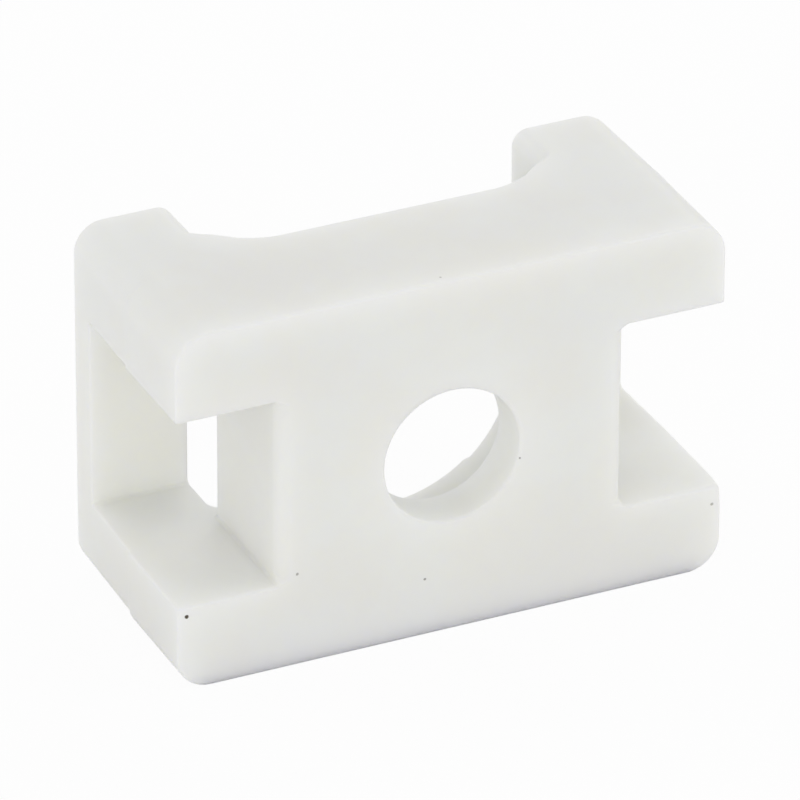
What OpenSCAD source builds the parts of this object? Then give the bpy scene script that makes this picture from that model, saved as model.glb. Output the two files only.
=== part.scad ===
// Screw-fixed saddle mount for cable ties, one nylon moulding.
// It lies on one of its side plates, as it comes to rest when it is put down.
// X runs along the length, Y from the flat mounting face (-Y) to the saddle (+Y), and
// Z across the two side plates. The origin is under the middle of the mount.

/* [Body] */
// Length over the two ends
body_length = 15; // [14:0.1:18]
// Depth from the flat mounting face to the tops of the tabs
body_depth = 6.65; // [6.2:0.05:8]
// Width over the two side plates
body_width = 10; // [9:0.1:13]
// Radius of the four corners of the outline, seen from the mounting face
corner_radius = 0.9; // [0.4:0.05:1.3]
// How far ends and side plates draw in behind the parting line, for release from the mould
draft = 0.08; // [0:0.01:0.2]
// Distance of the parting line from the mounting face
parting_depth = 3.3; // [2.5:0.1:4]

/* [Tie passage] */
// Gap between the side plates, which the tie lies in
tie_gap = 5.25; // [4.8:0.05:5.8]
// Clear height of the windows that the tie goes through, between the web and the bars
window_height = 1.8; // [1.4:0.1:2.2]
// Thickness of the bars that close the windows, measured along the depth
bar_thickness = 1; // [0.8:0.05:1.3]
// Radius of the edges of the bars that the tie bends round
bar_edge_radius = 0.1; // [0.05:0.05:0.38]

/* [Web] */
// Length of the web between the two tie recesses
web_length = 9.5; // [8.6:0.1:10.4]
// Radius of the web's upright edges at the mounting face
web_edge_radius = 0.4; // [0.1:0.05:0.8]

/* [Saddle] */
// Clear length of the saddle between the tabs
saddle_length = 9.4; // [8.6:0.1:10.4]
// Depth of the saddle floor below the tops of the tabs
saddle_depth = 2.7; // [2:0.1:3]
// Length of each slanted corner of the saddle, measured along its floor
slant_length = 1.15; // [0.3:0.05:1.8]
// Height of each slanted corner of the saddle above its floor
slant_height = 1; // [0.3:0.05:1.6]
// Radius of the edges between the inner walls of the tabs and the outsides of the plates
tab_edge_radius = 0.45; // [0.1:0.05:0.8]

/* [Screw] */
// Diameter of the screw hole
screw_hole = 3.7; // [3:0.1:4.4]
// Diameter of the recess for the screw head, which also bites into both side plates
head_recess = 6.8; // [5.6:0.1:7.4]
// Thickness of the web under the screw head
head_seat = 1.3; // [0.8:0.1:2]

/* [Hidden] */
front = -body_depth / 2;
back = body_depth / 2;
parting = front + parting_depth;
middle = body_width / 2;
saddle_floor = back - saddle_depth;
bar_front = back - bar_thickness;
web_back = bar_front - window_height;
past = 1;
$fn = 64;

// Extrudes a profile drawn in Y and Z along X, centred between the side plates
module along_length(length) {
    translate([-length / 2, 0, middle]) rotate([90, 0, 90]) linear_extrude(length) children();
}

// Extrudes a profile drawn in X and Y along Z, centred between the side plates
module across_width(width) {
    translate([0, 0, middle - width / 2]) linear_extrude(width) children();
}

module both_ends() {
    for (end = [0, 1]) mirror([end, 0, 0]) children();
}

// The outline of a size along the depth: full up to the parting line, then drawn in by the draft
function drafted_outline(size) = [
    [-size / 2, front], [size / 2, front], [size / 2, parting],
    [size / 2 - draft, back], [-size / 2 + draft, back], [-size / 2, parting]
];

function swapped(points) = [for (p = points) [p[1], p[0]]];

// The outside of the moulding. Its round corners are cylinders up to the parting line and
// cones behind it, so they stay tangent to the drafted faces.
module block() {
    r = corner_radius;
    along_length(body_length - 2 * r) polygon(swapped(drafted_outline(body_width)));
    across_width(body_width - 2 * r) polygon(drafted_outline(body_length));
    for (x = [-1, 1], z = [-1, 1])
        translate([x * (body_length / 2 - r), 0, middle + z * (body_width / 2 - r)]) rotate([-90, 0, 0]) {
            translate([0, 0, front]) cylinder(r = r, h = parting_depth);
            translate([0, 0, parting]) cylinder(r1 = r, r2 = r - draft, h = back - parting);
        }
}

// The web seen along Z, flush with the mounting face, with round edges for the tie to pass
module web_profile() {
    r = web_edge_radius;
    half = web_length / 2;
    translate([-half, front + r]) square([web_length, web_back - front - r]);
    translate([-half + r, front - past]) square([web_length - 2 * r, past + 2 * r]);
    for (x = [-1, 1]) translate([x * (half - r), front + r]) circle(r);
}

// One bar seen along Z, at the saddle side, with round edges towards the recess
module bar_profile() {
    r = bar_edge_radius;
    inner = saddle_length / 2;
    width = body_length / 2 - inner;
    translate([inner, bar_front + r]) square([width + past, bar_thickness + past]);
    translate([inner + r, bar_front]) square([width - 2 * r, bar_thickness]);
    for (x = [inner + r, inner + width - r]) translate([x, bar_front + r]) circle(r);
}

// All the open space between the side plates: recesses, windows and the channel over the web
module tie_passage() {
    across_width(tie_gap) difference() {
        square([body_length + 2 * past, body_depth + 2 * past], center = true);
        web_profile();
        both_ends() bar_profile();
    }
}

// The saddle seen along Z: a flat floor with slanted corners up to the inner walls of the tabs
module saddle_profile() {
    wall = saddle_length / 2;
    flat = wall - slant_length;
    shoulder = saddle_floor + slant_height;
    polygon([
        [-flat, saddle_floor], [flat, saddle_floor], [wall, shoulder], [wall, back + past],
        [-wall, back + past], [-wall, shoulder]
    ]);
}

// Rounds the outer edge of each tab's inner wall, square to the plate's drafted outside
module tab_edge_rounds() {
    r = tab_edge_radius;
    tilt = atan(draft / (back - parting));
    start = saddle_floor + slant_height - parting;
    for (side = [0, 1]) translate([0, 0, middle]) mirror([0, 0, side]) both_ends()
        translate([saddle_length / 2 + r, parting, body_width / 2]) rotate([-tilt, 0, 0])
            translate([0, start, -r]) rotate([90, 0, 0]) mirror([0, 0, 1])
                linear_extrude(body_depth) difference() {
                    translate([-r - past, 0]) square([r + past, r + past]);
                    circle(r);
                }
}

// The hole for the screw's shank and, from the saddle side, the wider recess for its head
module screw_hole_and_recess() {
    translate([0, 0, middle]) rotate([-90, 0, 0]) {
        translate([0, 0, front - past]) cylinder(d = screw_hole, h = body_depth);
        translate([0, 0, front + head_seat]) cylinder(d = head_recess, h = body_depth);
    }
}

module tie_mount() {
    color("ivory") difference() {
        block();
        tie_passage();
        across_width(body_width + 2 * past) saddle_profile();
        tab_edge_rounds();
        screw_hole_and_recess();
    }
}

tie_mount();
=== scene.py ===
# %% [markdown]
# # A cable tie mount in natural nylon
# The object is one small moulding: two side plates, a web with a countersunk screw hole between
# them, and two bars that close the windows a cable tie is threaded through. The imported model
# already has its true sizes. Here it gets what a mould and its plastic add: small radii on
# every edge, the fine step where the two mould halves meet, and milky, uncoloured nylon.

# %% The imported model
import math

import bmesh
import bpy
import numpy as np
from mathutils import Matrix, Vector


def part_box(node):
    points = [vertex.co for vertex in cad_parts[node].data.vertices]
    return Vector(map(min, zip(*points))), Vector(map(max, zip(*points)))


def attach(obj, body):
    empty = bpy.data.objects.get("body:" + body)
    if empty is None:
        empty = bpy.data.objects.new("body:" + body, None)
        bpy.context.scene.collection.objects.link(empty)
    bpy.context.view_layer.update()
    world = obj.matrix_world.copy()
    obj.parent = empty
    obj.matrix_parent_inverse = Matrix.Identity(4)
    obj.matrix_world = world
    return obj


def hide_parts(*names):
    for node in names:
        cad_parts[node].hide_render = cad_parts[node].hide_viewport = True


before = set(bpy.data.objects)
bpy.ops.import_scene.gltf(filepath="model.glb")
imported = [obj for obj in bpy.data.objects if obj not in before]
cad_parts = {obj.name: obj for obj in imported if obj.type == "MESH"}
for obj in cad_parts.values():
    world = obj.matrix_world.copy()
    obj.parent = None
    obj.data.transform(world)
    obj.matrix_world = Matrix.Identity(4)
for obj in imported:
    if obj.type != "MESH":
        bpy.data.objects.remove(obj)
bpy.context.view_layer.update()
low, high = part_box("tie_mount")
print("nodes:", sorted(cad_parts), "box in mm:", [round(v * 1000, 3) for v in high - low])

# %% [markdown]
# ## Sizes
# Every size is in millimetres, because the mount is only 15 mm long. Length, depth and width
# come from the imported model's own box. The other sizes are those of its features.
# X runs along the length, Y from the flat mounting face to the saddle, and Z across the plates.

# %% Sizes in millimetres
MM = 0.001
length, depth, width = [v / MM for v in high - low]
centre = (low + high) / 2
front, back = -depth / 2, depth / 2
corner_radius = 0.9
draft = 0.08
parting = front + 3.1
tie_gap = 5.25
web_length = 9.5
bar_front = back - 1.0
web_back = bar_front - 1.8
saddle_length = 9.4
saddle_floor = back - 2.7
slant_length, slant_height = 1.15, 1.0
screw_hole = 3.7
head_recess = 6.8
seat = front + 1.3
print(f"{length:.2f} x {depth:.2f} x {width:.2f} mm, web from {front:.2f} to {web_back:.2f}")

# %% [markdown]
# Radii are what a steel mould leaves. Outside edges that only meet the hand are almost sharp.
# Edges that the tie or the cables slide over are rounder, so that they don't cut, and every
# inside corner has a fillet that keeps the nylon from cracking there.

# %% Radii of edges and fillets, in millimetres
edge = 0.07
web_edge = 0.4
bar_edge = 0.1
root_fillet = 0.1
saddle_fillet = 0.4
tab_edge = 0.45
worn_edge = 0.18
worn_reach = 0.35
mismatch = 0.025
print(f"edge {edge} mm, root fillet {root_fillet} mm, tab edge {tab_edge} mm")

# %% [markdown]
# ## The shape as a field
# A bevel modifier stumbles where a round recess cuts slanted walls, so this piece is described
# another way. A field is a number at each point: below 0 in the nylon, above 0 in the air, and
# its size is the distance to the surface. Two shapes are cut with each other by taking the
# larger number, and joined by taking the smaller. The two helpers below do that with a radius
# at the place where the surfaces meet: one rounds an outside edge, one fills an inside corner.

# %% Rounded cuts and filleted joins
def rounded_cut(a, b, radius):
    """Where both a and b are below 0, with an outside edge of that radius between them."""
    corner = np.hypot(np.maximum(a + radius, 0), np.maximum(b + radius, 0))
    return np.minimum(np.maximum(a, b), -radius) + corner


def filleted_join(a, b, radius):
    """Where a or b is below 0, with an inside corner of that radius between them."""
    corner = np.hypot(np.maximum(radius - a, 0), np.maximum(radius - b, 0))
    return np.maximum(np.minimum(a, b), radius) - corner


def ramp(value, start, end):
    """0 before start, 1 after end, and smooth between them."""
    t = np.clip((value - start) / (end - start), 0, 1)
    return t * t * (3 - 2 * t)


sample = np.array(-0.2)
print("a square edge rounded by 1:", round(float(rounded_cut(sample, sample, 1.0)), 3))

# %% [markdown]
# The outside is a rectangle with round corners. Behind the parting line it draws in by the
# draft, so the moulding leaves the mould. The mould's halves never meet perfectly: the back
# half sits a few hundredths of a millimetre to one side, and that leaves a fine step.

# %% The outside of the moulding
def outside(x, y, z):
    behind = ramp(y, parting - 0.01, parting + 0.05)
    inset = draft * np.clip((y - parting) / (back - parting), 0, 1) + mismatch * behind
    dx = np.abs(x - mismatch * behind) - (length / 2 - corner_radius)
    dz = np.abs(z - mismatch * behind) - (width / 2 - corner_radius)
    past_corner = np.hypot(np.maximum(dx, 0), np.maximum(dz, 0))
    return past_corner + np.minimum(np.maximum(dx, dz), 0) - corner_radius + inset


end_middle = outside(np.array(length / 2), np.array(front), np.array(0.0))
print("at the middle of an end:", float(end_middle))

# %% [markdown]
# Between the plates there is nylon only in the web and in the two bars. The web is flush with
# the mounting face. The bars lie at the saddle side of each end, and the tie runs between them
# and the web.

# %% The web and the bars
def web_and_bars(x, y, z):
    plates = tie_gap / 2 - np.abs(z)
    web = rounded_cut(np.abs(x) - web_length / 2, y - web_back, bar_edge)
    bars = rounded_cut(saddle_length / 2 - np.abs(x), bar_front - y, bar_edge)
    return filleted_join(plates, np.minimum(web, bars), root_fillet)


# %% [markdown]
# The saddle is the trough that the cables lie in: a flat floor, two slanted corners and the
# upright inner walls of the tabs. The slants are full size at the outside of each plate and
# shrink to half towards the tie. The screw's head sinks into a round recess from that side.

# %% The saddle and the recess for the screw head
def saddle(x, y, z):
    share = 0.5 + 0.5 * np.clip((np.abs(z) - tie_gap / 2) / (width / 2 - tie_gap / 2), 0, 1)
    slope = math.hypot(slant_length, slant_height)
    run = np.abs(x) - (saddle_length / 2 - slant_length * share)
    slant = (run * slant_height - (y - saddle_floor) * slant_length) / slope
    trough = rounded_cut(saddle_floor - y, slant, saddle_fillet * share)
    return rounded_cut(trough, np.abs(x) - saddle_length / 2, root_fillet)


def head_recess_wall(x, y, z):
    return filleted_join(head_recess / 2 - np.hypot(x, z), y - seat, root_fillet)


# %% [markdown]
# Put together, the order matters: the sides are cut with the web and bars and with the saddle,
# the two flat faces close the depth, and then hole and recess are cut away. A radius may change
# along an edge: ramp leads it from one value to the next. One corner of the lower plate has
# been knocked about, so every edge that meets there is rounder.

# %% The whole moulding
def moulding(x, y, z):
    """The field of the mount in millimetres, with z from the middle between the plates."""
    across = np.abs(z)
    near = (x - length / 2) ** 2 + (y - front) ** 2 + (z + tie_gap / 2) ** 2
    plain = edge + (worn_edge - edge) * np.exp(-near / worn_reach**2)
    sides = rounded_cut(outside(x, y, z), web_and_bars(x, y, z), plain)
    shoulder = saddle_floor + slant_height
    at_tab = ramp(across, width / 2 - 1.2, width / 2 - 0.7)
    at_tab = at_tab * ramp(y, shoulder - 0.3, shoulder + 0.2)
    sides = rounded_cut(sides, -saddle(x, y, z), edge + (tab_edge - edge) * at_tab)
    at_web = 1 - ramp(across, tie_gap / 2 - 0.2, tie_gap / 2)
    at_web = at_web * (1 - ramp(y, front + 0.9, front + 1.2))
    solid = rounded_cut(sides, np.abs(y) - depth / 2, plain + (web_edge - edge) * at_web)
    solid = rounded_cut(solid, screw_hole / 2 - np.hypot(x, z), edge)
    return rounded_cut(solid, head_recess_wall(x, y, z), edge)


print("in the web:", round(float(moulding(np.array(3.0), np.array(-2.8), np.array(0.0))), 2), "mm")

# %% [markdown]
# ## From field to mesh
# The field is sampled on a grid whose lines crowd together where edges are, so that a radius
# of 0.1 mm still gets several faces while flat walls need few. Each grid cell that the surface
# passes through gets one vertex, and each grid line that it crosses gets one face between the
# four cells around it. This is called surface nets, and it always gives a closed skin.

# %% Grid lines
def grid_lines(limit, stations, fine, coarse):
    """Lines from -limit to limit, fine apart at the stations and up to coarse between them."""
    lines = [-limit]
    while lines[-1] < limit:
        near = min(abs(abs(lines[-1]) - s) for s in stations)
        lines.append(lines[-1] + fine + (coarse - fine) * min(near / 0.7, 1))
    return np.array(lines)


margin = 0.15
x_stations = [length / 2, saddle_length / 2, web_length / 2]
xs = grid_lines(length / 2 + margin, x_stations, 0.045, 0.11)
zs = grid_lines(width / 2 + margin, [width / 2, tie_gap / 2], 0.045, 0.11)
y_stations = [front, parting, seat, web_back, saddle_floor, bar_front, back]
ys = grid_lines(depth / 2 + margin, [abs(y) for y in y_stations], 0.035, 0.1)
print("grid:", len(xs), "x", len(ys), "x", len(zs))

# %% [markdown]
# The vertices are then moved along the field's slope until they lie on the surface itself.
# The slope also gives each vertex its exact normal, which keeps flat walls flat and makes the
# small radii shade smoothly.

# %% Surface nets
def slope_at(points):
    step = 0.001
    out = np.empty_like(points)
    for axis in range(3):
        shift = np.zeros(3)
        shift[axis] = step
        out[:, axis] = (moulding(*(points + shift).T) - moulding(*(points - shift).T)) / (2 * step)
    return out


def settle(points, rounds=5, longest=0.04):
    for _ in range(rounds):
        slope = slope_at(points)
        move = moulding(*points.T)[:, None] * slope / (slope * slope).sum(1, keepdims=True)
        points = points - np.clip(move, -longest, longest)
    return points


def surface_net(xs, ys, zs):
    values = moulding(*np.meshgrid(xs, ys, zs, indexing="ij"))
    inside = values < 0
    axes = (xs, ys, zs)
    corners = [(i, j, k) for i in (0, 1) for j in (0, 1) for k in (0, 1)]
    shape = [len(a) - 1 for a in axes]
    count = sum(
        inside[i : shape[0] + i, j : shape[1] + j, k : shape[2] + k].astype(np.int8)
        for i, j, k in corners
    )
    cells = np.argwhere((count > 0) & (count < 8))
    number = np.full(shape, -1)
    number[tuple(cells.T)] = np.arange(len(cells))
    total = np.zeros((len(cells), 3))
    crossings = np.zeros(len(cells))
    for a in corners:
        for axis in range(3):
            if a[axis]:
                continue
            b = tuple(v + (n == axis) for n, v in enumerate(a))
            va = values[tuple((cells + a).T)]
            vb = values[tuple((cells + b).T)]
            crosses = (va < 0) != (vb < 0)
            share = np.where(crosses, va / np.where(crosses, va - vb, 1), 0)
            for n in range(3):
                pa, pb = axes[n][cells[:, n] + a[n]], axes[n][cells[:, n] + b[n]]
                total[:, n] += np.where(crosses, pa + share * (pb - pa), 0)
            crossings += crosses
    faces = []
    for axis in range(3):
        u, v = (axis + 1) % 3, (axis + 2) % 3
        ahead = np.take(inside, range(1, inside.shape[axis]), axis)
        here = np.take(inside, range(0, inside.shape[axis] - 1), axis)
        edges = np.argwhere(here != ahead)
        ring = []
        for du, dv in ((1, 1), (0, 1), (0, 0), (1, 0)):
            cell = edges.copy()
            cell[:, u] -= du
            cell[:, v] -= dv
            ring.append(number[tuple(cell.T)])
        quads = np.stack(ring, 1)
        leaving = here[tuple(edges.T)]
        faces.append(np.where(leaving[:, None], quads, quads[:, ::-1]))
    return settle(total / crossings[:, None]), np.concatenate(faces)


points, quads = surface_net(xs, ys, zs)
print(len(points), "points,", len(quads), "quads, furthest from the surface:",
      f"{np.abs(moulding(*points.T)).max():.5f} mm")

# %% [markdown]
# Flat walls don't need their thousands of small faces. A limited dissolve joins neighbours that
# lie in one plane, and long faces along straight edges, without moving anything.

# %% The mesh of the mount
mesh = bpy.data.meshes.new("nylon_mount")
place = np.array([centre.x, centre.y, centre.z])
mesh.from_pydata((points * MM + place).tolist(), [], quads.tolist())
work = bmesh.new()
work.from_mesh(mesh)
bmesh.ops.scale(work, vec=Vector([1 / MM] * 3), verts=work.verts)
flat_enough = math.radians(0.25)
bmesh.ops.dissolve_limit(work, angle_limit=flat_enough, verts=work.verts, edges=work.edges)
bmesh.ops.scale(work, vec=Vector([MM] * 3), verts=work.verts)
open_edges = sum(1 for e in work.edges if len(e.link_faces) != 2)
volume = work.calc_volume(signed=True) / MM**3
work.to_mesh(mesh)
work.free()
for face in mesh.polygons:
    face.use_smooth = True
kept = (np.array([v.co for v in mesh.vertices]) - place) / MM
slope = slope_at(kept)
mesh.normals_split_custom_set_from_vertices(slope / np.linalg.norm(slope, axis=1, keepdims=True))
mount = bpy.data.objects.new("nylon_mount", mesh)
bpy.context.scene.collection.objects.link(mount)
print(len(mesh.polygons), "faces,", open_edges, "open edges, volume", round(volume, 1), "mm3")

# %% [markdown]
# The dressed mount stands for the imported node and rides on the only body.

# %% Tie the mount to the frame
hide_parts("tie_mount")
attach(mount, "root")
print("riding on root:", mount.name)

# %% [markdown]
# ## Natural nylon
# Uncoloured nylon is milky: light goes a little way in, scatters and comes out again, so
# recesses glow instead of going dark, and thin places look warmer. Subsurface scattering in
# the Principled shader does this. Three things vary over the surface: cloudy patches where the
# melt cooled at another speed, the fine grain of the mould, and a few dark specks.
#
# A node group is built once and placed as often as it is needed, each time with its own
# values. The helper below makes an empty group with named sockets.

# %% An empty node group
def new_group(name, inputs, outputs):
    group = bpy.data.node_groups.new(name, "ShaderNodeTree")
    for socket, kind, value in inputs:
        made = group.interface.new_socket(name=socket, in_out="INPUT", socket_type=kind)
        if value is not None:
            made.default_value = value
    for socket, kind in outputs:
        group.interface.new_socket(name=socket, in_out="OUTPUT", socket_type=kind)
    enter = group.nodes.new("NodeGroupInput")
    leave = group.nodes.new("NodeGroupOutput")
    return group, enter, leave


def add(tree, kind, settings=None, **values):
    """A node of that kind, with its settings and the values of its unlinked inputs.

    An input is given by its name, or as i0, i1 and so on by its number.
    """
    node = tree.nodes.new(kind)
    for name, value in (settings or {}).items():
        setattr(node, name, value)
    for name, value in values.items():
        key = int(name[1:]) if name[1:].isdigit() else name.replace("_", " ")
        node.inputs[key].default_value = value
    return node


print("helpers ready")

# %% [markdown]
# A speck is a grain of scorched nylon no wider than a hair. The group measures the distance
# from its centre, shakes it a little with noise so that the speck isn't round, and gives a
# mask that is 1 on the speck.

# %% Group: one speck
speck, enter, leave = new_group(
    "speck",
    [
        ("Position", "NodeSocketVector", None),
        ("Centre", "NodeSocketVector", None),
        ("Radius", "NodeSocketFloat", 0.00005),
        ("Darkness", "NodeSocketFloat", 1.0),
    ],
    [("Mask", "NodeSocketFloat")],
)
ragged = add(speck, "ShaderNodeTexNoise", Scale=14000.0, Detail=2.0)
from_centre = add(speck, "ShaderNodeVectorMath", {"operation": "DISTANCE"})
ratio = add(speck, "ShaderNodeMath", {"operation": "DIVIDE"})
shaken = add(speck, "ShaderNodeMath", {"operation": "ADD"})
smooth = {"interpolation_type": "SMOOTHSTEP"}
mask = add(speck, "ShaderNodeMapRange", smooth, i1=1.15, i2=1.75, i4=0.0)
speck.links.new(enter.outputs["Position"], ragged.inputs["Vector"])
speck.links.new(enter.outputs["Position"], from_centre.inputs[0])
speck.links.new(enter.outputs["Centre"], from_centre.inputs[1])
speck.links.new(from_centre.outputs["Value"], ratio.inputs[0])
speck.links.new(enter.outputs["Radius"], ratio.inputs[1])
speck.links.new(ratio.outputs["Value"], shaken.inputs[0])
speck.links.new(ragged.outputs["Fac"], shaken.inputs[1])
speck.links.new(shaken.outputs["Value"], mask.inputs["Value"])
speck.links.new(enter.outputs["Darkness"], mask.inputs["To Min"])
speck.links.new(mask.outputs["Result"], leave.inputs["Mask"])
print("group:", speck.name, len(speck.nodes), "nodes")

# %% [markdown]
# Cloudy patches are soft and a few millimetres wide. Two noises of different sizes are added,
# and the sum chooses between a cooler and a warmer white.

# %% Group: cloudy nylon
cloud, enter, leave = new_group(
    "cloudy_nylon",
    [
        ("Position", "NodeSocketVector", None),
        ("Cool", "NodeSocketColor", (0.8, 0.8, 0.78, 1)),
        ("Warm", "NodeSocketColor", (0.8, 0.79, 0.75, 1)),
        ("Patch size", "NodeSocketFloat", 0.003),
    ],
    [("Color", "NodeSocketColor"), ("Patches", "NodeSocketFloat")],
)
scale = add(cloud, "ShaderNodeMath", {"operation": "DIVIDE"}, i0=1.0)
finer = add(cloud, "ShaderNodeMath", {"operation": "MULTIPLY"}, i1=4.3)
large = add(cloud, "ShaderNodeTexNoise", Detail=1.0, Roughness=0.4)
small = add(cloud, "ShaderNodeTexNoise", Detail=2.0, Roughness=0.5)
blend = add(cloud, "ShaderNodeMix", {"data_type": "FLOAT"}, i0=0.3)
spread = add(cloud, "ShaderNodeMapRange", smooth, i1=0.35, i2=0.65)
tint = add(cloud, "ShaderNodeMix", {"data_type": "RGBA"})
cloud.links.new(enter.outputs["Patch size"], scale.inputs[1])
cloud.links.new(scale.outputs["Value"], finer.inputs[0])
cloud.links.new(enter.outputs["Position"], large.inputs["Vector"])
cloud.links.new(enter.outputs["Position"], small.inputs["Vector"])
cloud.links.new(scale.outputs["Value"], large.inputs["Scale"])
cloud.links.new(finer.outputs["Value"], small.inputs["Scale"])
cloud.links.new(large.outputs["Fac"], blend.inputs["A"])
cloud.links.new(small.outputs["Fac"], blend.inputs["B"])
cloud.links.new(blend.outputs["Result"], spread.inputs["Value"])
cloud.links.new(spread.outputs["Result"], tint.inputs["Factor"])
cloud.links.new(enter.outputs["Cool"], tint.inputs["A"])
cloud.links.new(enter.outputs["Warm"], tint.inputs["B"])
cloud.links.new(tint.outputs["Result"], leave.inputs["Color"])
cloud.links.new(spread.outputs["Result"], leave.inputs["Patches"])
print("group:", cloud.name, len(cloud.nodes), "nodes")

# %% [markdown]
# The mould's steel was spark-eroded, which leaves a grain of tiny rounded pits in the nylon.
# Noise at two sizes gives a height for the Bump node.

# %% Group: mould grain
grain, enter, leave = new_group(
    "mould_grain",
    [("Position", "NodeSocketVector", None), ("Grain size", "NodeSocketFloat", 0.0001)],
    [("Height", "NodeSocketFloat")],
)
scale = add(grain, "ShaderNodeMath", {"operation": "DIVIDE"}, i0=1.0)
waves = add(grain, "ShaderNodeTexNoise", Scale=700.0, Detail=1.0)
pits = add(grain, "ShaderNodeTexNoise", Detail=3.0, Roughness=0.6)
height = add(grain, "ShaderNodeMath", {"operation": "MULTIPLY_ADD"}, i1=0.25)
grain.links.new(enter.outputs["Grain size"], scale.inputs[1])
grain.links.new(enter.outputs["Position"], waves.inputs["Vector"])
grain.links.new(enter.outputs["Position"], pits.inputs["Vector"])
grain.links.new(scale.outputs["Value"], pits.inputs["Scale"])
grain.links.new(pits.outputs["Fac"], height.inputs[0])
grain.links.new(waves.outputs["Fac"], height.inputs[2])
grain.links.new(height.outputs["Value"], leave.inputs["Height"])
print("group:", grain.name, len(grain.nodes), "nodes")

# %% [markdown]
# The groups feed the Principled shader's sockets. Roughness varies with the cloudy patches.

# %% The nylon
nylon = bpy.data.materials.new("milky_nylon")
nylon.use_nodes = True
tree = nylon.node_tree
shader = tree.nodes["Principled BSDF"]
shader.inputs["IOR"].default_value = 1.53
shader.inputs["Specular IOR Level"].default_value = 0.35
shader.inputs["Subsurface Weight"].default_value = 1.0
shader.inputs["Subsurface Radius"].default_value = (1.0, 1.0, 0.85)
shader.inputs["Subsurface Scale"].default_value = 0.0009
position = add(tree, "ShaderNodeTexCoord")
milky = add(tree, "ShaderNodeGroup", {"node_tree": cloud})
milky.inputs["Cool"].default_value = (0.86, 0.867, 0.85, 1)
milky.inputs["Warm"].default_value = (0.855, 0.853, 0.822, 1)
grained = add(tree, "ShaderNodeGroup", {"node_tree": grain})
bump = add(tree, "ShaderNodeBump", Strength=0.3, Distance=0.00001)
rough = add(tree, "ShaderNodeMapRange", i3=0.48, i4=0.6)
tree.links.new(position.outputs["Object"], milky.inputs["Position"])
tree.links.new(position.outputs["Object"], grained.inputs["Position"])
tree.links.new(grained.outputs["Height"], bump.inputs["Height"])
tree.links.new(bump.outputs["Normal"], shader.inputs["Normal"])
tree.links.new(milky.outputs["Patches"], rough.inputs["Value"])
tree.links.new(rough.outputs["Result"], shader.inputs["Roughness"])
mesh.materials.append(nylon)
print("subsurface scale:", shader.inputs["Subsurface Scale"].default_value, "m")

# %% [markdown]
# Each speck is a place on a face, a radius and a darkness, in millimetres, with z from the
# by the darkness and joined with Maximum, and the result blends the nylon with scorched brown.
# are seen. Deep specks look fainter, because milky nylon lies over them. The masks are scaled
# by the darkness and joined with Maximum, and the result blends the nylon with scorched brown.

# %% Specks in the nylon
plate = (width - tie_gap) / 2
middle = width / 2
specks = [
    (-length / 2 + 0.25, front, plate - 0.25, 0.055, 1.0),
    (-web_length / 2 + 0.5, front, plate + 0.25, 0.04, 0.5),
    (-0.75, front, plate - 0.75, 0.035, 0.6),
    (screw_hole / 2, front, middle - 0.5, 0.03, 0.6),
    (length / 2 - 0.25, front, plate - 0.5, 0.045, 0.5),
    (-0.25, front + 0.25, width, 0.03, 0.4),
]
joined = None
for x, y, z, radius, darkness in specks:
    one = add(tree, "ShaderNodeGroup", {"node_tree": speck})
    one.inputs["Centre"].default_value = (x * MM, y * MM, z * MM)
    one.inputs["Radius"].default_value = radius * MM
    one.inputs["Darkness"].default_value = darkness
    tree.links.new(position.outputs["Object"], one.inputs["Position"])
    if joined is None:
        joined = one.outputs["Mask"]
        continue
    larger = add(tree, "ShaderNodeMath", {"operation": "MAXIMUM"})
    tree.links.new(joined, larger.inputs[0])
    tree.links.new(one.outputs["Mask"], larger.inputs[1])
    joined = larger.outputs["Value"]
scorched = add(tree, "ShaderNodeMix", {"data_type": "RGBA"})
scorched.inputs["B"].default_value = (0.09, 0.07, 0.05, 1)
tree.links.new(joined, scorched.inputs["Factor"])
tree.links.new(milky.outputs["Color"], scorched.inputs["A"])
tree.links.new(scorched.outputs["Result"], shader.inputs["Base Color"])
print(len(specks), "specks")

# %% [markdown]
# ## Floor, light and camera
# The mount lies on a plain white floor in soft light from all sides, as in a light tent.
# For the camera the floor is white, and a share of its own shading keeps the soft shadow.

# %% The floor
floor_mesh = bpy.data.meshes.new("floor")
half = 1.5
floor_corners = [(x * half, y * half, low.z) for x, y in ((-1, -1), (1, -1), (1, 1), (-1, 1))]
floor_mesh.from_pydata(floor_corners, [], [(0, 1, 2, 3)])
floor = bpy.data.objects.new("floor", floor_mesh)
bpy.context.scene.collection.objects.link(floor)
paper = bpy.data.materials.new("white_floor")
paper.use_nodes = True
nodes, links = paper.node_tree.nodes, paper.node_tree.links
shader = nodes["Principled BSDF"]
shader.inputs["Base Color"].default_value = (0.92, 0.92, 0.92, 1)
shader.inputs["Roughness"].default_value = 0.9
glow = nodes.new("ShaderNodeEmission")
glow.inputs["Strength"].default_value = 1.0
path = nodes.new("ShaderNodeLightPath")
seen = nodes.new("ShaderNodeMath")
seen.operation = "MULTIPLY"
white_share = 0.94
seen.inputs[1].default_value = white_share
mix = nodes.new("ShaderNodeMixShader")
links.new(path.outputs["Is Camera Ray"], seen.inputs[0])
links.new(seen.outputs["Value"], mix.inputs["Fac"])
links.new(shader.outputs["BSDF"], mix.inputs[1])
links.new(glow.outputs["Emission"], mix.inputs[2])
links.new(mix.outputs["Shader"], nodes["Material Output"].inputs["Surface"])
floor_mesh.materials.append(paper)
print("floor at z =", low.z)

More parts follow.
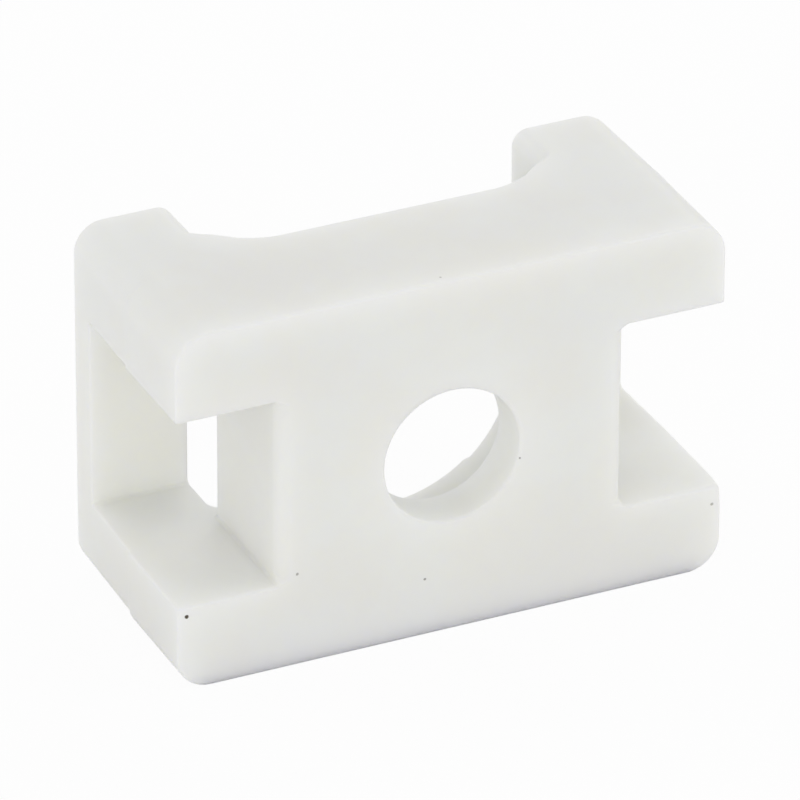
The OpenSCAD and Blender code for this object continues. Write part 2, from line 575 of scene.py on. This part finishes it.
# %% World light
world = bpy.data.worlds.new("tent")
bpy.context.scene.world = world
world.use_nodes = True
nodes, links = world.node_tree.nodes, world.node_tree.links
tent = nodes["Background"]
tent.inputs["Color"].default_value = (1, 1, 1, 1)
tent.inputs["Strength"].default_value = 0.56
white = nodes.new("ShaderNodeBackground")
white.inputs["Color"].default_value = (1, 1, 1, 1)
white.inputs["Strength"].default_value = 1.0
path = nodes.new("ShaderNodeLightPath")
mix = nodes.new("ShaderNodeMixShader")
links.new(path.outputs["Is Camera Ray"], mix.inputs["Fac"])
links.new(tent.outputs["Background"], mix.inputs[1])
links.new(white.outputs["Background"], mix.inputs[2])
links.new(mix.outputs["Shader"], nodes["World Output"].inputs["Surface"])
print("tent strength:", tent.inputs["Strength"].default_value)


# %% [markdown]
# Five large soft lamps stand in a ring around the mount, all turned to its middle, and an
# even light from the world fills what they leave. Together they give a face about as much
# light as makes its colour show as it is written, and no shadow is hard.

# %% Lamps
ring = 0.45
lamp_size = 0.3


def soft_lamp(name, around, above, power):
    """A round lamp on the ring: around from the front, positive to the right, above in degrees."""
    data = bpy.data.lights.new(name, "AREA")
    data.shape = "DISK"
    data.size = lamp_size
    data.energy = power
    lamp = bpy.data.objects.new(name, data)
    bpy.context.scene.collection.objects.link(lamp)
    turn, lift = math.radians(around), math.radians(above)
    flat = ring * math.cos(lift)
    across, along, above_centre = flat * math.sin(turn), -flat * math.cos(turn), ring * math.sin(lift)
    lamp.location = centre + Vector((across, along, above_centre))
    lamp.rotation_euler = (centre - lamp.location).to_track_quat("-Z", "Y").to_euler()
    return lamp


lamps = [
    soft_lamp("front_lamp", -10, 15, 0.19),
    soft_lamp("front_left_lamp", -50, 15, 0.34),
    soft_lamp("right_lamp", 70, 25, 0.36),
    soft_lamp("back_left_lamp", -140, 35, 0.29),
    soft_lamp("back_right_lamp", 140, 35, 0.3),
]
print(len(lamps), "lamps,", round(sum(lamp.data.energy for lamp in lamps), 2), "W")

# %% [markdown]
# The camera stands well back with a long lens, so that the mount is seen almost without
# perspective, from the mounting side, a little from the left and from above.

# %% The camera
azimuth, elevation, roll = math.radians(-24.83), math.radians(29.47), math.radians(0.18)
distance = 0.249
aim = Vector((0.0, 0.0, 0.005))
level_share = math.cos(elevation)
away = Vector((math.sin(azimuth) * level_share, -math.cos(azimuth) * level_share, math.sin(elevation)))
level = Vector((math.cos(azimuth), math.sin(azimuth), 0))
upright = away.cross(level)
right = math.cos(roll) * level + math.sin(roll) * upright
up = away.cross(right)
camera_data = bpy.data.cameras.new("camera")
camera_data.lens = 445.7
camera_data.sensor_width = 36
camera_data.clip_start = 0.01
camera_data.clip_end = 10
camera = bpy.data.objects.new("camera", camera_data)
bpy.context.scene.collection.objects.link(camera)
to_right, downwards = 0.000078, 0.0001
eye = aim + away * distance + right * to_right - up * downwards
camera.matrix_world = Matrix.Translation(eye) @ Matrix((right, up, away)).transposed().to_4x4()
bpy.context.scene.camera = camera
print("camera at", [round(v, 4) for v in camera.location], "lens", camera_data.lens, "mm")

# %% [markdown]
# ## Colour management and the end
# The Standard view shows colours as they are written.

# %% Finish
bpy.context.scene.view_settings.view_transform = "Standard"
